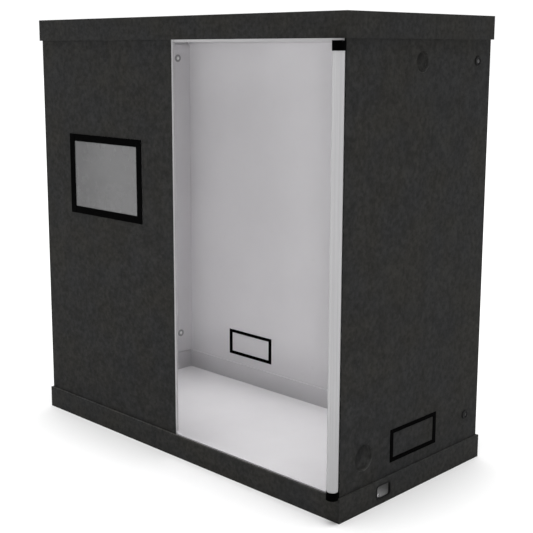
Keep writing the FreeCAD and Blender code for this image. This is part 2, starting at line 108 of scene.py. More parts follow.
class Surface:
    """A node material under construction, in the object's own coordinates in metres."""

    def __init__(self, name, roughness, **constants):
        self.material = bpy.data.materials.new(name)
        self.material.use_nodes = True
        self.nodes = self.material.node_tree.nodes
        self.links = self.material.node_tree.links
        self.shader = self.nodes["Principled BSDF"]
        self.shader.inputs["Roughness"].default_value = roughness
        for socket, value in constants.items():
            self.shader.inputs[socket.replace("_", " ")].default_value = value
        self.place = self.nodes.new("ShaderNodeTexCoord")
        self.relief = None

    def feed(self, target, value):
        """Give a socket its value: another socket's output, a colour or a number."""
        if isinstance(value, bpy.types.NodeSocket):
            self.links.new(value, target)
        elif hasattr(value, "__len__"):
            target.default_value = (*value, 1.0)
        else:
            target.default_value = value

    def noise(self, scale, detail=3.0, roughness=0.55, along=None):
        """Cloudy noise with features about 1/scale metres across."""
        node = self.nodes.new("ShaderNodeTexNoise")
        node.inputs["Scale"].default_value = scale
        node.inputs["Detail"].default_value = detail
        node.inputs["Roughness"].default_value = roughness
        self.feed(node.inputs["Vector"], along or self.place.outputs["Object"])
        return node.outputs["Fac"]

    def streaks(self, scales, detail, roughness=0.55):
        """Noise drawn out along an axis: `scales` are its features per metre along X, Y and Z."""
        mapping = self.nodes.new("ShaderNodeMapping")
        mapping.inputs["Scale"].default_value = scales
        self.feed(mapping.inputs["Vector"], self.place.outputs["Object"])
        return self.noise(1.0, detail, roughness, along=mapping.outputs["Vector"])

    def cells(self, scale):
        """Closed cells about 1/scale metres across: the distance from each cell's centre."""
        node = self.nodes.new("ShaderNodeTexVoronoi")
        node.inputs["Scale"].default_value = scale
        self.feed(node.inputs["Vector"], self.place.outputs["Object"])
        return node.outputs["Distance"]

    def wave(self, direction, scale):
        """Straight sine bands across one axis."""
        node = self.nodes.new("ShaderNodeTexWave")
        node.wave_type = "BANDS"
        node.bands_direction = direction
        node.wave_profile = "SIN"
        node.inputs["Scale"].default_value = scale
        self.feed(node.inputs["Vector"], self.place.outputs["Object"])
        return node.outputs["Fac"]

    def math(self, operation, first, second=0.0):
        """One math node on sockets or numbers."""
        node = self.nodes.new("ShaderNodeMath")
        node.operation = operation
        self.feed(node.inputs[0], first)
        self.feed(node.inputs[1], second)
        return node.outputs["Value"]

    def ramp(self, factor, stops):
        """Colour or grey ramp: `stops` are pairs of place and tone."""
        node = self.nodes.new("ShaderNodeValToRGB")
        elements = node.color_ramp.elements
        while len(elements) < len(stops):
            elements.new(0.5)
        for element, (position, value) in zip(elements, stops):
            element.position = position
            colour = value if hasattr(value, "__len__") else (value,) * 3
            element.color = (*colour, 1.0)
        self.feed(node.inputs["Fac"], factor)
        return node.outputs["Color"]

    def mix(self, factor, first, second, blend="MIX"):
        """Colour mix of sockets or colours."""
        node = self.nodes.new("ShaderNodeMix")
        node.data_type = "RGBA"
        node.blend_type = blend
        self.feed(node.inputs["Factor"], factor)
        self.feed(node.inputs[MIX_FIRST], first)
        self.feed(node.inputs[MIX_SECOND], second)
        return node.outputs[MIX_RESULT]

    def times(self, tone, scale, strength=1.0):
        """A tone multiplied by a scale, in full or in part."""
        return self.mix(strength, tone, scale, "MULTIPLY")

    def axis(self, letter, start=0.0, unit=1.0):
        """One coordinate, counted from `start` in units of `unit` metres."""
        split = self.nodes.new("ShaderNodeSeparateXYZ")
        self.feed(split.inputs["Vector"], self.place.outputs["Object"])
        value = split.outputs[letter]
        if start != 0.0:
            value = self.math("SUBTRACT", value, start)
        if unit != 1.0:
            value = self.math("DIVIDE", value, unit)
        return value

    def facing(self, axes):
        """1 where the object's own normal runs along one of the axes, else 0."""
        split = self.nodes.new("ShaderNodeSeparateXYZ")
        self.feed(split.inputs["Vector"], self.place.outputs["Normal"])
        total = 0.0
        for axis in axes:
            size = self.math("ABSOLUTE", split.outputs[axis])
            total = self.math("ADD", total, self.math("GREATER_THAN", size, FACING_LIMIT))
        return self.math("MINIMUM", total, 1.0)

    def colour(self, tone):
        """Set the base colour."""
        self.feed(self.shader.inputs["Base Color"], tone)

    def rough(self, factor, stops):
        """Set the roughness by a ramp."""
        self.feed(self.shader.inputs["Roughness"], self.ramp(factor, stops))

    def bump(self, height, depth, strength):
        """Add one layer of relief, `depth` metres deep."""
        node = self.nodes.new("ShaderNodeBump")
        node.inputs["Distance"].default_value = depth
        node.inputs["Strength"].default_value = strength
        self.feed(node.inputs["Height"], height)
        if self.relief:
            self.feed(node.inputs["Normal"], self.relief)
        self.relief = node.outputs["Normal"]
        self.feed(self.shader.inputs["Normal"], self.relief)


# ---------------------------------------------------------------- charcoal skin

FELT_BLOTCHES = (
    (0.30, (0.0195, 0.0193, 0.0186)),
    (0.50, (0.0233, 0.0230, 0.0221)),
    (0.72, (0.0279, 0.0275, 0.0263)),
)
FELT_TINTS = ((0.36, (0.96, 0.99, 1.04)), (0.64, (1.04, 1.02, 0.95)))
FELT_CLUMPS = ((0.34, 0.70), (0.5, 1.0), (0.68, 1.36))
FELT_FLECKS = ((0.32, 0.86), (0.5, 1.0), (0.72, 1.18))
FELT_ROUGHNESS = ((0.3, 0.84), (0.7, 0.98))
# Painted light: the tray's skin is lifted against its shade near the floor, and a painted
# highlight on its upward faces, in front and beside the right wall, evens out the shade line at
# the ledge.
TRAY_PAINTED_LIFT = 1.14
TRAY_LEDGE_HIGHLIGHT = (1.85, 1.15)

# The shade in a plug's cup is ramped over a lean: 0.5 at its centre, more upwards and forwards.
CUP_LEAN_UP = 0.375
CUP_LEAN_BACK = 0.275
CUP_LEAN_CENTRE = 0.5
CUP_WALL = ((0.05, 2.5), (0.25, 1.8), (0.55, 1.35), (0.85, 0.6))
CUP_FACE = ((0.1, 1.75), (0.3, 1.3), (0.5, 0.95), (0.75, 0.5))


def painted_ledge_highlight(surface, tone, painted_shading):
    """A tone with a painted highlight on its upward faces: in front, and beside the right wall."""
    beside = surface.math("GREATER_THAN", surface.axis("X"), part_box("right_wall_skin")[1][0])
    scale = surface.mix(beside, (painted_shading[0],) * 3, (painted_shading[1],) * 3)
    return surface.mix(surface.facing((2,)), tone, surface.times(tone, scale))


def shaded_cup(surface, tone, cup, stops):
    """A tone shaded by its place in the round hollow of the node `cup`."""
    low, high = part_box(cup)
    radius = (high[2] - low[2]) / 2
    up = surface.axis("Z", low[2] + radius, radius)
    back = surface.axis("Y", low[1] + radius, radius)
    lean = surface.math("SUBTRACT", surface.math("MULTIPLY", up, CUP_LEAN_UP),
                        surface.math("MULTIPLY", back, CUP_LEAN_BACK))
    return surface.times(tone, surface.ramp(surface.math("ADD", lean, CUP_LEAN_CENTRE), stops))


def charcoal_skin(name, lift=1.0, painted_shading=None, cup=None, stops=()):
    """Dark felt-like skin: soft blotches, a hint of warm and cool, and fine short fibres.

    `lift` scales its tone; the tray's lift is painted light against its shade near the floor. The
    next argument is two scales of painted highlight for the upward faces, as in the ledge
    function.
    `cup` is the node of a round hollow that is shaded by a ramp of `stops`.
    """
    surface = Surface(name, 0.92, Sheen_Weight=0.03, Sheen_Roughness=0.7,
                      Specular_IOR_Level=0.06)
    lifted = [(place, [part * lift for part in shade]) for place, shade in FELT_BLOTCHES]
    tone = surface.ramp(surface.noise(30.0, detail=5.0, roughness=0.65), lifted)
    tone = surface.times(tone, surface.ramp(surface.noise(11.0, detail=4.0), FELT_TINTS))
    clump = surface.noise(105.0, detail=2.5, roughness=0.6)
    tone = surface.times(tone, surface.ramp(clump, FELT_CLUMPS), strength=0.9)
    fleck = surface.noise(640.0, detail=4.0, roughness=0.7)
    tone = surface.times(tone, surface.ramp(fleck, FELT_FLECKS), strength=0.8)
    # Painted highlight on the upward faces.
    if painted_shading:
        tone = painted_ledge_highlight(surface, tone, painted_shading)
    if cup:
        tone = shaded_cup(surface, tone, cup, stops)
    surface.colour(tone)
    surface.rough(fleck, FELT_ROUGHNESS)
    fibre = surface.streaks((900.0, 900.0, 420.0), detail=4.0, roughness=0.7)
    surface.bump(fibre, 0.25 * MM, strength=0.6)
    surface.bump(clump, 0.6 * MM, strength=0.35)
    return surface.material


# ---------------------------------------------------------------- white board

LINER_CLOUDS = ((0.35, (0.700, 0.690, 0.704)), (0.65, (0.722, 0.712, 0.726)))
LINER_MARKS = ((0.60, 0.0), (0.78, 0.35))
LINER_MARK_TONE = (0.62, 0.615, 0.605)
LINER_ROUGHNESS = ((0.3, 0.46), (0.7, 0.62))
FOAM_CELLS = ((0.05, (0.34, 0.335, 0.335)), (0.45, (0.56, 0.55, 0.555)))
# Painted shade on the tray's rim behind the doorway: a ramp over height, darkest at the floor.
RIM_PAINTED_SHADE = ((0.1, 0.78), (0.9, 0.92))
RIM_SHADE_HEIGHT = 62.5 * MM
DOORWAY_BACK = -0.22
# The lid's rim is a darker copy of the board: painted shade.
LID_RIM_PAINTED_SHADE = 0.84


def white_board(name, face_axes, painted_floor_shade=False, lift=1.0):
    """White foamed board: smooth liner on its faces and fine closed cells on its cut edges.

    Its faces are those that look along `face_axes`. The rim's copy carries a painted shade behind
    the doorway, darkest near the floor. `lift` scales the tone of all of it; on the lid's rim it
    is a painted shade.
    """
    surface = Surface(name, 0.55, Specular_IOR_Level=0.35)
    liner = surface.ramp(surface.noise(7.0), LINER_CLOUDS)
    mark = surface.noise(55.0, detail=6.0, roughness=0.7)
    liner = surface.mix(surface.ramp(mark, LINER_MARKS), liner, LINER_MARK_TONE)
    cell = surface.cells(1500.0)
    face = surface.facing(face_axes)
    tone = surface.mix(face, surface.ramp(cell, FOAM_CELLS), liner)
    # Painted shade: behind the doorway the rim darkens towards the floor.
    if painted_floor_shade:
        painted_shading = surface.ramp(surface.axis("Z", unit=RIM_SHADE_HEIGHT), RIM_PAINTED_SHADE)
        behind = surface.math("GREATER_THAN", surface.axis("Y"), DOORWAY_BACK)
        tone = surface.mix(behind, tone, surface.times(tone, painted_shading))
    if lift != 1.0:
        tone = surface.times(tone, (lift,) * 3)
    surface.colour(tone)
    peel = surface.noise(420.0)
    surface.rough(peel, LINER_ROUGHNESS)
    surface.bump(surface.mix(face, cell, peel), 0.16 * MM, strength=0.55)
    surface.bump(surface.noise(18.0, detail=2.0), 0.3 * MM, strength=0.35)
    return surface.material


# ---------------------------------------------------------------- tape, film and rubber

YARNS_PER_METRE = 1000.0
YARN_TONES = ((0.0, 0.0002), (1.0, 0.0016))
LINT_ROUGHNESS = ((0.3, 0.60), (0.7, 0.85))

# The window's tone drifts from left to right, over a stretch that starts at this X: a painted
# shade at its left that lightens towards its right.
WINDOW_DRIFT_START = -0.384
WINDOW_DRIFT_SPAN = 1 / 3.6
WINDOW_HAZE = 0.55
WINDOW_TONES = ((0.45, (0.165, 0.165, 0.167)), (0.85, (0.225, 0.225, 0.227)))
WINDOW_ROUGHNESS = ((0.45, 0.22), (0.75, 0.42))

DOOR_TONES = ((0.35, (0.55, 0.56, 0.57)), (0.65, (0.66, 0.67, 0.68)))
DOOR_ROUGHNESS = ((0.4, 0.06), (0.7, 0.20))

ROLL_STREAKS = ((0.30, (0.575, 0.572, 0.583)), (0.70, (0.665, 0.660, 0.672)))
ROLL_BANDS = ((0.3, 0.88), (0.7, 1.08))
# Painted shade: the roll's tone falls towards its foot.
ROLL_FOOT_SHADE = ((0.07, 0.77), (0.27, 0.88), (0.93, 0.92))
ROLL_ROUGHNESS = ((0.35, 0.30), (0.7, 0.46))

# The membrane's tone is ramped over its height, its depth and a little noise, added up:
# painted light at its lower front and painted shade at its upper rear.
MEMBRANE_RISE = 0.62
MEMBRANE_BACK = 0.35
MEMBRANE_PATCH = 0.12
MEMBRANE_TONES = ((0.16, 0.42), (0.42, 0.22), (0.66, 0.09), (1.0, 0.055))
MEMBRANE_ROUGHNESS = ((0.3, 0.5), (0.7, 0.75))

# How far a moulding's roughness goes below and above its own figure.
MOULD_SHINE = 0.08
MOULD_DULL = 0.1


def black_tape():
    """Black woven edging tape: crossed yarns under a faint sheen."""
    surface = Surface("black_tape", 0.85, Specular_IOR_Level=0.01)
    across, deep, up = (surface.wave(letter, YARNS_PER_METRE) for letter in "XYZ")
    level = surface.math("MULTIPLY", across, deep)
    upright = surface.math("MULTIPLY", up, surface.math("MAXIMUM", across, deep))
    weave = surface.math("MAXIMUM", level, upright)
    surface.colour(surface.ramp(weave, YARN_TONES))
    surface.rough(surface.noise(300.0, detail=5.0, roughness=0.7), LINT_ROUGHNESS)
    surface.bump(weave, 0.12 * MM, strength=0.6)
    return surface.material


def clear_film():
    """Clear flexible film with a faint grey tint, slightly wavy and lightly scuffed."""
    surface = Surface("clear_film", 0.30, Alpha=0.72, Specular_IOR_Level=0.3, IOR=1.48)
    haze = surface.noise(14.0, detail=5.0, roughness=0.6)
    # Painted shade: the pane darkens towards its left.
    across = surface.axis("X", WINDOW_DRIFT_START, WINDOW_DRIFT_SPAN)
    drift = surface.math("ADD", across, surface.math("MULTIPLY", haze, WINDOW_HAZE))
    surface.colour(surface.ramp(drift, WINDOW_TONES))
    surface.rough(surface.noise(22.0, detail=6.0, roughness=0.7), WINDOW_ROUGHNESS)
    surface.bump(surface.noise(11.0, detail=2.0), 1.2 * MM, strength=0.30)
    return surface.material


def door_film():
    """The same film flat across the doorway, clearer than the window."""
    surface = Surface("door_film", 0.10, Alpha=0.16, Coat_Weight=0.4, Coat_Roughness=0.04,
                      IOR=1.48)
    haze = surface.streaks((6.0, 6.0, 3.0), detail=4.0)
    surface.colour(surface.ramp(haze, DOOR_TONES))
    surface.rough(haze, DOOR_ROUGHNESS)
    surface.bump(surface.streaks((5.0, 5.0, 2.0), detail=2.0), 1.5 * MM, strength=0.3)
    return surface.material


def rolled_film():
    """Many layers of clear film: milky grey, streaked upright, and darker at its foot, a painted
    shade.
    """
    surface = Surface("rolled_film", 0.38, Coat_Weight=0.06, Coat_Roughness=0.2,
                      Specular_IOR_Level=0.15, IOR=1.48)
    streak = surface.streaks((700.0, 700.0, 2.2), detail=5.0, roughness=0.65)
    band = surface.streaks((150.0, 150.0, 1.6), detail=3.0, roughness=0.6)
    tone = surface.ramp(streak, ROLL_STREAKS)
    tone = surface.times(tone, surface.ramp(band, ROLL_BANDS), strength=0.6)
    tone = surface.times(tone, surface.ramp(surface.axis("Z"), ROLL_FOOT_SHADE))
    surface.colour(tone)
    surface.rough(streak, ROLL_ROUGHNESS)
    surface.bump(streak, 0.06 * MM, strength=0.4)
    return surface.material


def membrane():
    """Thin grey rubber sheet, paler towards its lower front corner as painted light."""
    surface = Surface("grey_rubber", 0.6, Specular_IOR_Level=0.2)
    low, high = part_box("cable_port_membrane")
    rise = surface.axis("Z", low[2], high[2] - low[2])
    back = surface.axis("Y", low[1], high[1] - low[1])
    patch = surface.noise(160.0, detail=4.0)
    level = surface.math("ADD", surface.math("MULTIPLY", rise, MEMBRANE_RISE),
                         surface.math("MULTIPLY", back, MEMBRANE_BACK))
    level = surface.math("ADD", level, surface.math("MULTIPLY", patch, MEMBRANE_PATCH))
    surface.colour(surface.ramp(level, MEMBRANE_TONES))
    surface.rough(patch, MEMBRANE_ROUGHNESS)
    surface.bump(surface.noise(900.0), 0.08 * MM, strength=0.5)
    return surface.material


def moulded(name, low, high, roughness):
    """Moulded plastic or rubber between two greys, with a fine spark-eroded grain."""
    surface = Surface(name, roughness, Specular_IOR_Level=0.15)
    grain = surface.noise(1800.0)
    surface.colour(surface.ramp(surface.noise(60.0), ((0.3, low), (0.7, high))))
    surface.rough(grain, ((0.3, roughness - MOULD_SHINE), (0.7, roughness + MOULD_DULL)))
    surface.bump(grain, 0.06 * MM, strength=0.6)
    return surface.material


# ---------------------------------------------------------------- the materials

CHARCOAL = charcoal_skin("charcoal_skin")
# The tray's lighter copy and its lighter ledges are painted light.
CHARCOAL_TRAY = charcoal_skin("charcoal_skin_tray", lift=TRAY_PAINTED_LIFT, painted_shading=TRAY_LEDGE_HIGHLIGHT)
CUP_SKINS = {node: [charcoal_skin(node + "_wall", cup=node, stops=CUP_WALL),
                    charcoal_skin(node + "_face", cup=node, stops=CUP_FACE)]
             for node in ("upper_plug_dish", "lower_plug_dish")}
BOARD_X = white_board("white_board_side", (0,))
BOARD_Y = white_board("white_board_front", (1,))
BOARD_Z = white_board("white_board_flat", (2,))
BOARD_STRIPS = white_board("white_board_strips", (0, 1))
# The rim's greying behind the doorway is painted shade.
BOARD_RIM = white_board("white_board_rim", (0, 1, 2), painted_floor_shade=True)
BOARD_EDGE = white_board("white_board_edge", (0, 1, 2))
# A darker copy of the board: painted shade on the lid's rim.
BOARD_LID_RIM = white_board("white_board_lid_rim", (0, 1, 2), lift=LID_RIM_PAINTED_SHADE)
TAPE = black_tape()
WINDOW_FILM = clear_film()
DOOR_FILM = door_film()
ROLLED = rolled_film()
RUBBER = moulded("black_rubber", 0.010, 0.016, 0.75)
MEMBRANE = membrane()
DARK_RING = moulded("dark_rivet", 0.007, 0.010, 0.7)
PALE_RING = moulded("pale_rivet", 0.34, 0.40, 0.55)
# The studs' pins are a lit and a shaded copy of one plastic: a painted reflection on the upper
# pin.
LIT_PIN = moulded("lit_rivet", 0.085, 0.095, 0.55)
SHADED_PIN = moulded("shaded_rivet", 0.026, 0.032, 0.6)
WHITE_PIN = moulded("white_rivet", 0.93, 0.95, 0.25)
CORE = moulded("core_plastic", 0.10, 0.13, 0.45)


# ---------------------------------------------------------------- mesh kit

SHARP_EDGE = math.radians(35.0)

# The radius below which a point counts as on its axis, and the gap that joins two points.
ON_AXIS = 1e-7
SAME_POINT = 1e-6

# A four-cornered section: its sides, as pairs of corners, and its corners in order round it.
SECTION_SIDES = ((0, 1), (1, 3), (3, 2), (2, 0))
SECTION_LOOP = (0, 1, 3, 2)


def new_piece(name, mesh, body, materials, smooth=True):
    """Put a finished bmesh in the scene, riding on a body of the frame if one is named."""
    bmesh.ops.recalc_face_normals(mesh, faces=mesh.faces)
    data = bpy.data.meshes.new(name)
    mesh.to_mesh(data)
    mesh.free()
    for material in materials:
        data.materials.append(material)
    for polygon in data.polygons:
        polygon.use_smooth = smooth
    piece = bpy.data.objects.new(name, data)
    bpy.context.scene.collection.objects.link(piece)
    if body:
        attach(piece, body)
    return piece


def soften(piece, width, segments=2):
    """Round a piece's sharp edges."""
    bevel = piece.modifiers.new("soften", "BEVEL")
    bevel.width = width
    bevel.segments = segments
    bevel.limit_method = "ANGLE"
    bevel.angle_limit = SHARP_EDGE


def split_edges(piece, degrees):
    """Shade a smooth piece's edges hard where they turn by more than an angle."""
    piece.modifiers.new("edges", "EDGE_SPLIT").split_angle = math.radians(degrees)


def lathe(mesh, profile, centre, axis, steps=48, material=0):
    """Turn (along, radius) points about an axis through centre."""
    along = Vector(axis).normalized()
    side = along.orthogonal().normalized()
    other = along.cross(side)
    rings = []
    for distance, radius in profile:
        if radius < ON_AXIS:
            rings.append([mesh.verts.new(centre + along * distance)])
            continue
        ring = []
        for step in range(steps):
            turn = 2 * math.pi * step / steps
            spoke = side * math.cos(turn) + other * math.sin(turn)
            ring.append(mesh.verts.new(centre + along * distance + spoke * radius))
        rings.append(ring)
    for first, second in zip(rings, rings[1:]):
        for step in range(steps):
            following = (step + 1) % steps
            if len(first) == 1:
                around = [first[0], second[step], second[following]]
            elif len(second) == 1:
                around = [first[step], second[0], first[following]]
            else:
                around = [first[step], second[step], second[following], first[following]]
            mesh.faces.new(around).material_index = material


def arc(centre, radius, start, end, steps):
    """Points of a round corner in a profile, angles in degrees."""
    points = []
    for step in range(steps + 1):
        turn = math.radians(start + (end - start) * step / steps)
        points.append((centre[0] + radius * math.cos(turn), centre[1] + radius * math.sin(turn)))
    return points


def join_sections(mesh, sections):
    """Skin a row of four-cornered sections into a closed strip."""
    for first, second in zip(sections, sections[1:]):
        for a, b in SECTION_SIDES:
            mesh.faces.new((first[a], first[b], second[b], second[a]))
    for end in (sections[0], sections[-1]):
        mesh.faces.new([end[index] for index in SECTION_LOOP])


# ---------------------------------------------------------------- frame nodes kept as they are

SKIN_ROUND = 0.3 * MM
BOARD_ROUND = 0.2 * MM
STRIP_ROUND = 0.2 * MM
PORT_ROUND = 0.25 * MM
GROMMET_ROUND = 0.5 * MM
MEMBRANE_ROUND = 0.2 * MM


def dress(node, material, width):
    """Give a CAD node its material and soften its edges."""
    piece = NODES[node]
    piece.data.materials.clear()
    piece.data.materials.append(material)
    soften(piece, width)


def dress_frame():
    """Walls, lid, tray, flaps, plugs and port liners keep their CAD shape."""
    skins = ("base_bottom_skin", "lid_skin", "left_wall_skin", "right_wall_skin",
             "rear_wall_skin", "front_wall_skin", "side_flap_skin", "rear_flap_skin")
    for node in skins:
        dress(node, CHARCOAL, SKIN_ROUND)
    dress("base_edge_skin", CHARCOAL_TRAY, SKIN_ROUND)
    boards = {
        "base_floor": BOARD_Z, "base_edge": BOARD_EDGE, "tray_inner_rim": BOARD_RIM,
        "lid_board": BOARD_Z, "lid_edge": BOARD_STRIPS, "lid_inner_rim": BOARD_LID_RIM,
        "left_wall": BOARD_X, "right_wall": BOARD_X, "side_flap": BOARD_X,
        "rear_wall": BOARD_STRIPS, "front_wall": BOARD_STRIPS, "rear_flap": BOARD_Y,
        "upper_plug": BOARD_X, "lower_plug": BOARD_X, "jamb_closing_strip": BOARD_Y,
    }
    for node, material in boards.items():
        dress(node, material, BOARD_ROUND)
    dress("door_anchor_strip", TAPE, STRIP_ROUND)
    dress("side_port_frame", TAPE, PORT_ROUND)
    dress("rear_port_frame", TAPE, PORT_ROUND)
    dress("cable_port_grommet", RUBBER, GROMMET_ROUND)
    dress("cable_port_membrane", MEMBRANE, MEMBRANE_ROUND)


dress_frame()


# ---------------------------------------------------------------- window

PANE_COLUMNS = 48
PANE_ROWS = 34
PANE_SWELL = 0.1225 * MM
PANE_THICK = 0.35 * MM
RIPPLE_ACROSS = 5.1
RIPPLE_UP = 3.7
RIPPLE_START = (1.3, 0.6)
BORDER_SIDE = 19.5 * MM
BORDER_LEVEL = 17.5 * MM
BORDER_TUCK = 1 * MM
LEVEL_TAPE_THICK = 0.5 * MM
BORDER_ROUND = 0.2 * MM


def window_pane():
    """Slightly wavy film held flat only at its taped edge."""
    low, high = corners("window_pane")
    mesh = bmesh.new()
    grid = []
    for row in range(PANE_ROWS + 1):
        line = []
        for column in range(PANE_COLUMNS + 1):
            u, v = column / PANE_COLUMNS, row / PANE_ROWS
            inside = math.sin(math.pi * u) * math.sin(math.pi * v)
            ripple = (math.sin(RIPPLE_ACROSS * u + RIPPLE_START[0])
                      * math.cos(RIPPLE_UP * v + RIPPLE_START[1]))
            x = low.x + (high.x - low.x) * u
            y = (low.y + high.y) / 2 + PANE_SWELL * inside * ripple
            line.append(mesh.verts.new((x, y, low.z + (high.z - low.z) * v)))
        grid.append(line)
    for row in range(PANE_ROWS):
        for column in range(PANE_COLUMNS):
            mesh.faces.new((grid[row][column], grid[row][column + 1],
                            grid[row + 1][column + 1], grid[row + 1][column]))
    piece = new_piece("window_film", mesh, "cabinet", [WINDOW_FILM])
    solid = piece.modifiers.new("thickness", "SOLIDIFY")
    solid.thickness = PANE_THICK
    solid.offset = 0.0
    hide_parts("window_pane")


def tape_strip(mesh, low, high):
    """One strip of tape, as a thin box."""
    box = bmesh.ops.create_cube(mesh, size=1.0)
    centre = (low + high) / 2
    size = high - low
    for vertex in box["verts"]:
        vertex.co = Vector(centre[i] + vertex.co[i] * size[i] for i in range(3))


def window_border():
    """Four strips of tape; the upright ones lie over the ends of the level ones."""
    low, high = corners("window_border")
    left, right = low.x + BORDER_TUCK, high.x - BORDER_TUCK
    front = high.y - LEVEL_TAPE_THICK
    mesh = bmesh.new()
    for foot, head in ((low.z, low.z + BORDER_LEVEL), (high.z - BORDER_LEVEL, high.z)):
        tape_strip(mesh, Vector((left, front, foot)), Vector((right, high.y, head)))
    for start, end in ((low.x, low.x + BORDER_SIDE), (high.x - BORDER_SIDE, high.x)):
        tape_strip(mesh, Vector((start, low.y, low.z)), Vector((end, high.y, high.z)))
    piece = new_piece("window_tape", mesh, "cabinet", [TAPE], smooth=False)
    soften(piece, BORDER_ROUND, segments=3)
    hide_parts("window_border")


window_pane()
window_border()


# ---------------------------------------------------------------- rivets

HEAD_RADIUS = extent("right_rivet_studs").y / 2
STUD_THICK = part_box("right_rivet_studs")[1][0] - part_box("right_wall_skin")[1][0]
CAP_THICK = extent("right_rivet_caps").x
PIN_RADIUS = 4.6 * MM
PIN_GAP = 0.2 * MM
WASHER_SHARE = 0.78
WASHER_ROUND = 0.9 * MM

# The washer's slope down to its pin: from the gap outwards, and down from the crown.
WASHER_SLOPE = ((1.9 * MM, 0.0), (1.4 * MM, 0.8 * MM), (0.7 * MM, 0.9 * MM), (0.0, 0.9 * MM))

# The pin's dome: shares of the head's thickness and of the pin's radius.
PIN_DOME = ((0.0, 1.0), (0.35, 1.0), (0.58, 0.92), (0.78, 0.72), (0.92, 0.44), (0.98, 0.2),
            (1.0, 0.0))


def rivet_head(mesh, centre, outwards, thick, pin_material):
    """A washer with a dished middle and, in another material, its domed pin."""
    groove = PIN_RADIUS + PIN_GAP
    crown = thick * WASHER_SHARE
    washer = [(0.0, HEAD_RADIUS)]
    washer += arc((crown - WASHER_ROUND, HEAD_RADIUS - WASHER_ROUND), WASHER_ROUND, 90, 10,
                  steps=6)
    washer += [(crown - down, groove + out) for out, down in WASHER_SLOPE]
    washer += [(0.0, groove)]
    lathe(mesh, washer, centre, outwards)
    pin = [(thick * rise, PIN_RADIUS * reach) for rise, reach in PIN_DOME]
    lathe(mesh, pin, centre, outwards, material=pin_material)


def rivets(node, side, inner, pins):
    """All the heads of one rivet node: studs outside, or caps inside.

    `side` is -1 on the left wall and 1 on the right; `pins` are the lower and upper tones, and on
    the studs the upper one's lighter tone is a painted reflection.
    """
    low, high = corners(node)
    if inner:
        thick = CAP_THICK
        base = high.x if side > 0 else low.x
        outwards = (-side, 0, 0)
    else:
        thick = STUD_THICK
        base = high.x - thick if side > 0 else low.x + thick
        outwards = (side, 0, 0)
    mesh = bmesh.new()
    for y in sorted({low.y + HEAD_RADIUS, high.y - HEAD_RADIUS}):
        for index, z in enumerate((low.z + HEAD_RADIUS, high.z - HEAD_RADIUS)):
            rivet_head(mesh, Vector((base, y, z)), outwards, thick, index + 1)
    slot, ring = ("white_plastic", PALE_RING) if inner else ("grey_plastic", DARK_RING)
    piece = new_piece(node + "_turned", mesh, "cabinet", [ring, *pins])
    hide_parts(node)


# On the studs the upper pins are lighter: a painted reflection.
rivets("left_rivet_studs", -1, False, (SHADED_PIN, LIT_PIN))
rivets("right_rivet_studs", 1, False, (SHADED_PIN, LIT_PIN))
rivets("left_rivet_caps", -1, True, (WHITE_PIN, WHITE_PIN))
rivets("right_rivet_caps", 1, True, (WHITE_PIN, WHITE_PIN))


# ---------------------------------------------------------------- knock-out plugs

CUP_STEPS = 72
CUP_SPREAD = 0.3 * MM
CUP_WALL_THICK = 0.9 * MM
CUP_FOOT_THICK = 0.8 * MM
CUP_CORNER = 2.4 * MM
CUP_BACK_CHAMFER = 1.2 * MM
CUP_RIM_CHAMFER = 0.3 * MM
CUP_RIM_DROP = 0.2 * MM
CUP_FACE_RING = 0.45


def plug_dish(node, body):
    """A moulded cup, close in its bore, with a chamfered rim and a rounded foot."""
    low, high = corners(node)
    centre = Vector((low.x, (low.y + high.y) / 2, (low.z + high.z) / 2))
    radius = (high.z - low.z) / 2 + CUP_SPREAD
    deep = high.x - low.x
    bore = radius - CUP_WALL_THICK
    wall = [(0.0, 0.0), (0.0, radius - CUP_BACK_CHAMFER), (CUP_BACK_CHAMFER, radius)]
    wall += [(deep - CUP_RIM_CHAMFER, radius), (deep, radius - CUP_RIM_CHAMFER)]
    wall += [(deep - CUP_RIM_DROP, bore)]
    wall += arc((CUP_FOOT_THICK + CUP_CORNER, bore - CUP_CORNER), CUP_CORNER, 90, 180,
                steps=8)
    rings = (bore - CUP_CORNER, radius * CUP_FACE_RING, 0.0)
    face = [(CUP_FOOT_THICK, reach) for reach in rings]
    mesh = bmesh.new()
    lathe(mesh, wall, centre, (1, 0, 0), CUP_STEPS)
    lathe(mesh, face, centre, (1, 0, 0), CUP_STEPS, material=1)
    bmesh.ops.remove_doubles(mesh, verts=mesh.verts, dist=SAME_POINT)
    piece = new_piece(node + "_moulded", mesh, body, CUP_SKINS[node])
    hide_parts(node)


plug_dish("upper_plug_dish", "upper_knockout")
plug_dish("lower_plug_dish", "lower_knockout")


# ---------------------------------------------------------------- roll-up door

TURNS = 6.25
STEPS_PER_TURN = 44
ROLL_START = math.radians(90)
FILM = 0.42 * MM
CORE_GAP = 0.1 * MM
CORE_STEPS = 40
CORE_WALL = 1.6 * MM
CORE_LIP = 0.5 * MM
CORE_DEEP = 30 * MM
FLAT_COLUMNS = 64


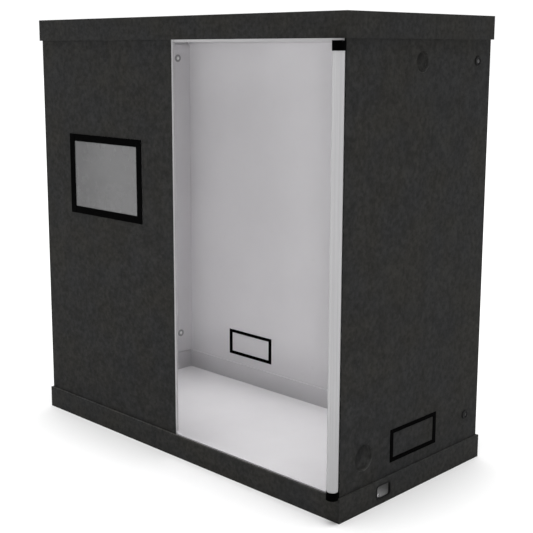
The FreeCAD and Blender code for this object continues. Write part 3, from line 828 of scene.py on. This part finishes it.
def wound(name, node, material):
    """A stretch of the roll: film wound clockwise outwards, leaving the roll at its rear."""
    low, high = corners(node)
    centre = Vector(((low.x + high.x) / 2, (low.y + high.y) / 2, 0))
    outer = (high.x - low.x) / 2
    inner = extent("door_core_rod").x / 2 + CORE_GAP + FILM
    steps = int(TURNS * STEPS_PER_TURN)
    mesh = bmesh.new()
    sections = []
    for step in range(steps + 1):
        share = step / steps
        turn = ROLL_START + 2 * math.pi * TURNS * (1 - share)
        radius = inner + (outer - inner) * share
        spoke = Vector((math.cos(turn), math.sin(turn), 0))
        section = []
        for reach in (radius - FILM, radius):
            place = centre + spoke * reach
            for z in (low.z, high.z):
                section.append(mesh.verts.new((place.x, place.y, z)))
        sections.append(section)
    join_sections(mesh, sections)
    piece = new_piece(name, mesh, "door_roll", [material])
    split_edges(piece, degrees=40)
    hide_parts(node)


def core_rod():
    """The core: a rod with a rolled lip and a blind bore at each end."""
    low, high = corners("door_core_rod")
    centre = Vector(((low.x + high.x) / 2, (low.y + high.y) / 2, low.z))
    radius = (high.x - low.x) / 2
    tall = high.z - low.z
    bore = radius - CORE_WALL
    end = [(CORE_DEEP, 0.0), (CORE_DEEP, bore), (CORE_LIP, bore), (0.0, bore + CORE_LIP),
           (0.0, radius - CORE_LIP), (CORE_LIP, radius)]
    profile = end + [(tall - along, reach) for along, reach in reversed(end)]
    mesh = bmesh.new()
    lathe(mesh, profile, centre, (0, 0, 1), CORE_STEPS)
    piece = new_piece("door_core_tube", mesh, "door_core", [CORE])
    split_edges(piece, degrees=50)
    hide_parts("door_core_rod")


def flat_film(name, low_z, high_z, material):
    """A stretch of flat film from the fixed edge to the roll, as it lies at rest; it rides on no
    body.
    """
    low, high = corners("door_film_tail")
    mesh = bmesh.new()
    sections = []
    for step in range(FLAT_COLUMNS + 1):
        x = low.x + (high.x - low.x) * step / FLAT_COLUMNS
        sections.append([mesh.verts.new((x, y, z)) for y in (low.y, high.y)
                         for z in (low_z, high_z)])
    join_sections(mesh, sections)
    piece = new_piece(name, mesh, None, [material], smooth=False)
    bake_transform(piece)
    return piece


def roll_up_door():
    """Roll, its black borders, its core, and the flat film behind it."""
    wound("door_film_wound", "door_film_roll", ROLLED)
    wound("door_band_low", "door_bottom_band", TAPE)
    wound("door_band_high", "door_top_band", TAPE)
    core_rod()
    band_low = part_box("door_bottom_band")
    band_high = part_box("door_top_band")
    pane = flat_film("door_film_flat", band_low[1][2], band_high[0][2], DOOR_FILM)
    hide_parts("door_film_tail")
    flat_film("door_film_flat_low", band_low[0][2], band_low[1][2], TAPE)
    flat_film("door_film_flat_high", band_high[0][2], band_high[1][2], TAPE)


roll_up_door()


# ---------------------------------------------------------------- stage and light

FLOOR_SIZE = 30.0
FLOOR_TONE = 0.93
FLOOR_ROUGHNESS = 0.9
AMBIENT = 0.30
BACKDROP = 1.05
OVERHEAD = 3.5
OVERHEAD_ANGLE = math.radians(35)
KEY = 5.0
KEY_PLACE = (0.2, -3.2, 2.6)
KEY_TARGET = (0.2, 0.0, 0.4)
KEY_SIZE = 1.2

# Three lamps inside stand in for light through the doorway: two face the rear wall's left part,
# from this Y and up to this X, and one under the lid looks down.
INSIDE_FRONT = 0.34
INSIDE_HIGH = 0.02
INSIDE_TOP = 0.72
INSIDE_Y = 0.08
INSIDE_RIGHT = 0.04
INSIDE_FOOT = 0.095
INSIDE_WALL_GAP = 0.01
INSIDE_HEAD_GAP = 5 * MM
INSIDE_HIGH_TALL = 0.11
INSIDE_SPREAD = 90.0
TOP_SHIFT = -0.02
TOP_Y = 0.05
TOP_WIDE = 0.88
TOP_DEEP = 1.5
TOP_SPREAD = 40.0
WHITE = (1.0, 1.0, 1.0, 1.0)
BACKWARDS = Vector((0, 1, 0))
DOWNWARDS = Vector((0, 0, -1))


def stage_floor():
    """A wide pale floor."""
    mesh = bmesh.new()
    bmesh.ops.create_grid(mesh, x_segments=1, y_segments=1, size=FLOOR_SIZE)
    data = bpy.data.meshes.new("floor")
    mesh.to_mesh(data)
    mesh.free()
    floor = bpy.data.objects.new("floor", data)
    bpy.context.scene.collection.objects.link(floor)
    surface = Surface("floor", FLOOR_ROUGHNESS)
    surface.colour((FLOOR_TONE,) * 3)
    floor.data.materials.append(surface.material)


def area_light(name, place, target, wide, tall, power, spread=180.0):
    """A soft box aimed at a point, unseen itself; a smaller spread keeps its light ahead of it."""
    data = bpy.data.lights.new(name, "AREA")
    data.shape = "RECTANGLE"
    data.size, data.size_y = wide, tall
    data.energy = power
    data.spread = math.radians(spread)
    light = bpy.data.objects.new(name, data)
    light.location = place
    aim = Vector(target) - Vector(place)
    light.rotation_euler = aim.to_track_quat("-Z", "Y").to_euler()
    light.visible_camera = False
    bpy.context.scene.collection.objects.link(light)


def surroundings():
    """A dim white world that looks full white to the camera only."""
    world = bpy.data.worlds.new("studio")
    world.use_nodes = True
    nodes, links = world.node_tree.nodes, world.node_tree.links
    background = nodes["Background"]
    background.inputs["Color"].default_value = WHITE
    background.inputs["Strength"].default_value = AMBIENT
    backdrop = nodes.new("ShaderNodeBackground")
    backdrop.inputs["Color"].default_value = WHITE
    backdrop.inputs["Strength"].default_value = BACKDROP
    path = nodes.new("ShaderNodeLightPath")
    choice = nodes.new("ShaderNodeMixShader")
    links.new(path.outputs["Is Camera Ray"], choice.inputs["Fac"])
    links.new(background.outputs["Background"], choice.inputs[1])
    links.new(backdrop.outputs["Background"], choice.inputs[2])
    links.new(choice.outputs["Shader"], nodes["World Output"].inputs["Surface"])
    bpy.context.scene.world = world


def upright_lamp(name, low, high, power):
    """A lamp that fills an upright rectangle and faces the rear wall."""
    centre, size = (low + high) / 2, high - low
    area_light(name, centre, centre + BACKWARDS, size.x, size.z, power, INSIDE_SPREAD)


def inside_lamps():
    """The three lamps inside the cabinet, in places taken from its nodes."""
    left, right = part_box("left_wall")[1][0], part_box("right_wall")[0][0]
    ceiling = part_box("lid_board")[0][2]
    low = Vector((left + INSIDE_WALL_GAP, INSIDE_Y, INSIDE_FOOT))
    high = Vector((INSIDE_RIGHT, INSIDE_Y, ceiling - INSIDE_HEAD_GAP))
    upright_lamp("inside_front", low, high, INSIDE_FRONT)
    strip_low = Vector((low.x, INSIDE_Y, ceiling - INSIDE_HIGH_TALL))
    upright_lamp("inside_high", strip_low, high, INSIDE_HIGH)
    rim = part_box("lid_inner_rim")[0][2]
    above = Vector(((left + right) / 2 + TOP_SHIFT, TOP_Y, rim - INSIDE_HEAD_GAP))
    wide = (right - left) * TOP_WIDE
    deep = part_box("tray_inner_rim")[1][1] * TOP_DEEP
    area_light("inside_top", above, above + DOWNWARDS, wide, deep, INSIDE_TOP, TOP_SPREAD)


def studio():
    """Soft surroundings, a sun overhead, a lamp in front, and lamps inside the cabinet."""
    surroundings()
    overhead = bpy.data.lights.new("overhead", "SUN")
    overhead.energy, overhead.angle = OVERHEAD, OVERHEAD_ANGLE
    sun = bpy.data.objects.new("overhead", overhead)
    bpy.context.scene.collection.objects.link(sun)
    area_light("key", KEY_PLACE, KEY_TARGET, KEY_SIZE, KEY_SIZE, KEY)
    inside_lamps()
    bpy.context.scene.view_settings.view_transform = "Standard"


stage_floor()
studio()
